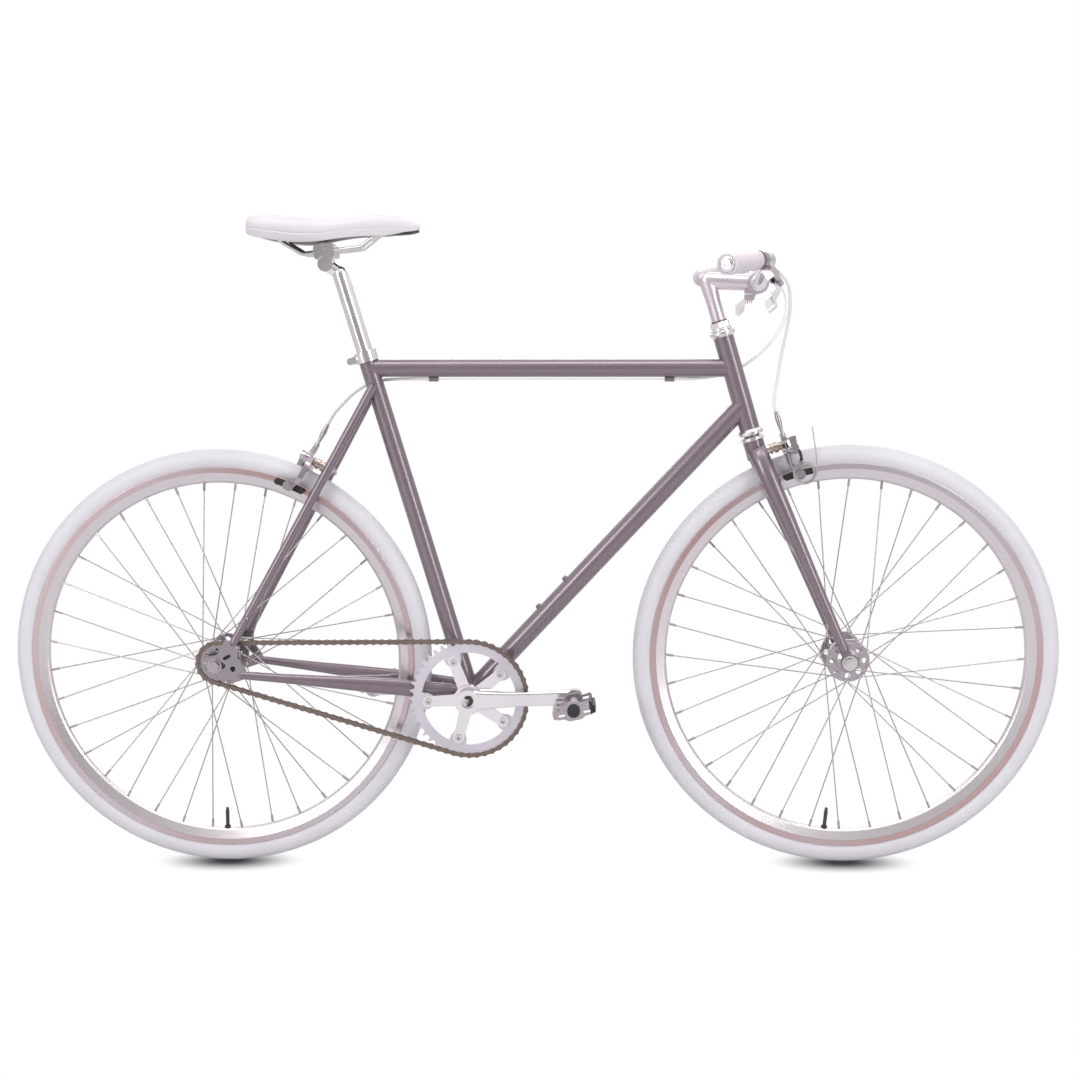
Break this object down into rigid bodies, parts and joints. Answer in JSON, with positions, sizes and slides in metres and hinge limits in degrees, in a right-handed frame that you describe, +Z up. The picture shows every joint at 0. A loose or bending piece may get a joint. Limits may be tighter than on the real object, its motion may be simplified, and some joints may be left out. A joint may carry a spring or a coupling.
{
  "type": "fixed gear bicycle",
  "caption": "Diamond-frame city bicycle with a fixed chain drive, spoked wheels, side-pull rim brakes, a swept flat handlebar, platform pedals and a sprung-rail saddle.",
  "frame": {"origin": "on the floor below the middle of the wheelbase, in the bicycle's centre plane", "axes": "+X forwards, +Y to the rider's left (away from the chain side), +Z up"},
  "size_m": [1.69, 0.5936, 1.0541],
  "materials": {
    "black_plastic": "moulded",
    "black_rubber": "matt",
    "chain_brown": "satin",
    "frame_paint": "satin metallic",
    "rim_silver": "brushed",
    "ring_grey": "matt",
    "silver": "polished",
    "steel": "brushed",
    "tyre_white": "matt",
    "white_cable": "smooth",
    "white_leather": "smooth",
    "white_rubber": "matt"
  },
  "bodies": {
    "frame": {"head_tube": "frame_paint", "top_tube": "frame_paint", "down_tube": "frame_paint", "seat_tube": "frame_paint", "bottom_bracket_shell": "frame_paint", "chain_stays": "frame_paint", "seat_stays": "frame_paint", "track_ends": "steel", "braze_ons": "frame_paint", "bearing_cups": "silver", "seat_clamp": "silver", "rear_axle": "steel", "rear_brake_mount": "steel", "rear_cable_front": "white_cable", "rear_cable_rear": "white_cable", "chain": "chain_brown"},
    "rear_wheel": {"rear_hub": "silver", "rear_spokes": "steel", "rear_rim": "rim_silver", "rear_tyre": "tyre_white", "rear_valve": "steel", "rear_cog": "steel"},
    "fork": {"fork": "frame_paint", "headset_top": "silver", "front_axle": "steel", "stem": "silver", "handlebar": "silver", "grips": "white_rubber", "bar_plugs": "silver", "lever_brackets": "silver", "front_brake_mount": "steel", "front_brake_cable": "white_cable"},
    "front_wheel": {"front_hub": "silver", "front_spokes": "steel", "front_rim": "rim_silver", "front_tyre": "tyre_white", "front_valve": "steel"},
    "right_lever": {"right_brake_lever": "silver"},
    "left_lever": {"left_brake_lever": "silver"},
    "front_stop_arm": {"front_brake_stop_arm": "silver", "front_brake_stop_pad": "black_rubber"},
    "front_anchor_arm": {"front_brake_anchor_arm": "silver", "front_brake_anchor_pad": "black_rubber"},
    "rear_stop_arm": {"rear_brake_stop_arm": "silver", "rear_brake_stop_pad": "black_rubber"},
    "rear_anchor_arm": {"rear_brake_anchor_arm": "silver", "rear_brake_anchor_pad": "black_rubber"},
    "crank": {"right_crank": "silver", "left_crank": "silver", "chainring": "ring_grey", "crank_spindle": "steel", "pedal_axles": "steel"},
    "right_pedal": {"right_pedal": "silver"},
    "left_pedal": {"left_pedal": "silver"},
    "seatpost": {"seatpost": "silver"},
    "saddle": {"saddle_top": "white_leather", "saddle_base": "black_plastic", "saddle_rails": "steel", "saddle_clamp": "silver"}
  },
  "joints": [
    {"name": "steering", "type": "hinge", "parent": "frame", "child": "fork", "pos_m": [0.32804, 0, 0.78], "axis": [-0.279, 0, 0.9603], "range_deg": [-60, 60], "deforming": ["rear_cable_front"]},
    {"name": "rear_wheel_spin", "type": "hinge", "parent": "frame", "child": "rear_wheel", "pos_m": [-0.504, 0, 0.341], "axis": [0, 1, 0], "continuous": true, "deforming": ["chain"]},
    {"name": "front_wheel_spin", "type": "hinge", "parent": "fork", "child": "front_wheel", "pos_m": [0.504, 0, 0.341], "axis": [0, 1, 0], "continuous": true},
    {"name": "crank_spin", "type": "hinge", "parent": "frame", "child": "crank", "pos_m": [-0.10013, 0, 0.2815], "axis": [0, 1, 0], "continuous": true, "deforming": ["chain"]},
    {"name": "right_pedal_spin", "type": "hinge", "parent": "crank", "child": "right_pedal", "pos_m": [0.06967, 0, 0.2898], "axis": [0, 1, 0], "continuous": true},
    {"name": "left_pedal_spin", "type": "hinge", "parent": "crank", "child": "left_pedal", "pos_m": [-0.26993, 0, 0.2732], "axis": [0, 1, 0], "continuous": true},
    {"name": "right_lever_pull", "type": "hinge", "parent": "fork", "child": "right_lever", "pos_m": [0.37267, -0.15774, 0.93152], "axis": [-0.7174, 0.3505, -0.602], "range_deg": [0, 20], "stiffness_Nm_per_rad": 1, "springref_deg": -11.46, "deforming": ["front_brake_cable"]},
    {"name": "left_lever_pull", "type": "hinge", "parent": "fork", "child": "left_lever", "pos_m": [0.37267, 0.15774, 0.93152], "axis": [0.7174, 0.3505, 0.602], "range_deg": [0, 20], "stiffness_Nm_per_rad": 1, "springref_deg": -11.46, "deforming": ["rear_cable_front", "rear_cable_rear"]},
    {"name": "front_stop_arm_swing", "type": "hinge", "parent": "fork", "child": "front_stop_arm", "pos_m": [0.40609, 0, 0.68339], "axis": [0.9603, 0, 0.279], "range_deg": [0, 1.45], "deforming": ["front_brake_cable"]},
    {"name": "front_anchor_arm_swing", "type": "hinge", "parent": "fork", "child": "front_anchor_arm", "pos_m": [0.40609, 0, 0.68339], "axis": [0.9603, 0, 0.279], "range_deg": [-1.45, 0], "deforming": ["front_brake_cable"]},
    {"name": "rear_stop_arm_swing", "type": "hinge", "parent": "frame", "child": "rear_stop_arm", "pos_m": [-0.35463, 0, 0.66501], "axis": [-0.8718, 0, 0.4899], "range_deg": [0, 1.45], "deforming": ["rear_cable_rear"]},
    {"name": "rear_anchor_arm_swing", "type": "hinge", "parent": "frame", "child": "rear_anchor_arm", "pos_m": [-0.35463, 0, 0.66501], "axis": [-0.8718, 0, 0.4899], "range_deg": [-1.45, 0], "deforming": ["rear_cable_rear"]},
    {"name": "seatpost_slide", "type": "slide", "parent": "frame", "child": "seatpost", "axis": [-0.279, 0, 0.9603], "range_m": [-0.08, 0.06]},
    {"name": "saddle_tilt", "type": "hinge", "parent": "seatpost", "child": "saddle", "pos_m": [-0.318, 0, 0.973], "axis": [0, 1, 0], "range_deg": [-10, 10]}
  ],
  "couplings": [
    {"joint": "crank_spin", "follows": "rear_wheel_spin", "ratio": 0.34783},
    {"joint": "front_stop_arm_swing", "follows": "right_lever_pull", "ratio": 0.0725},
    {"joint": "front_anchor_arm_swing", "follows": "right_lever_pull", "ratio": -0.0725},
    {"joint": "rear_stop_arm_swing", "follows": "left_lever_pull", "ratio": 0.0725},
    {"joint": "rear_anchor_arm_swing", "follows": "left_lever_pull", "ratio": -0.0725}
  ]
}
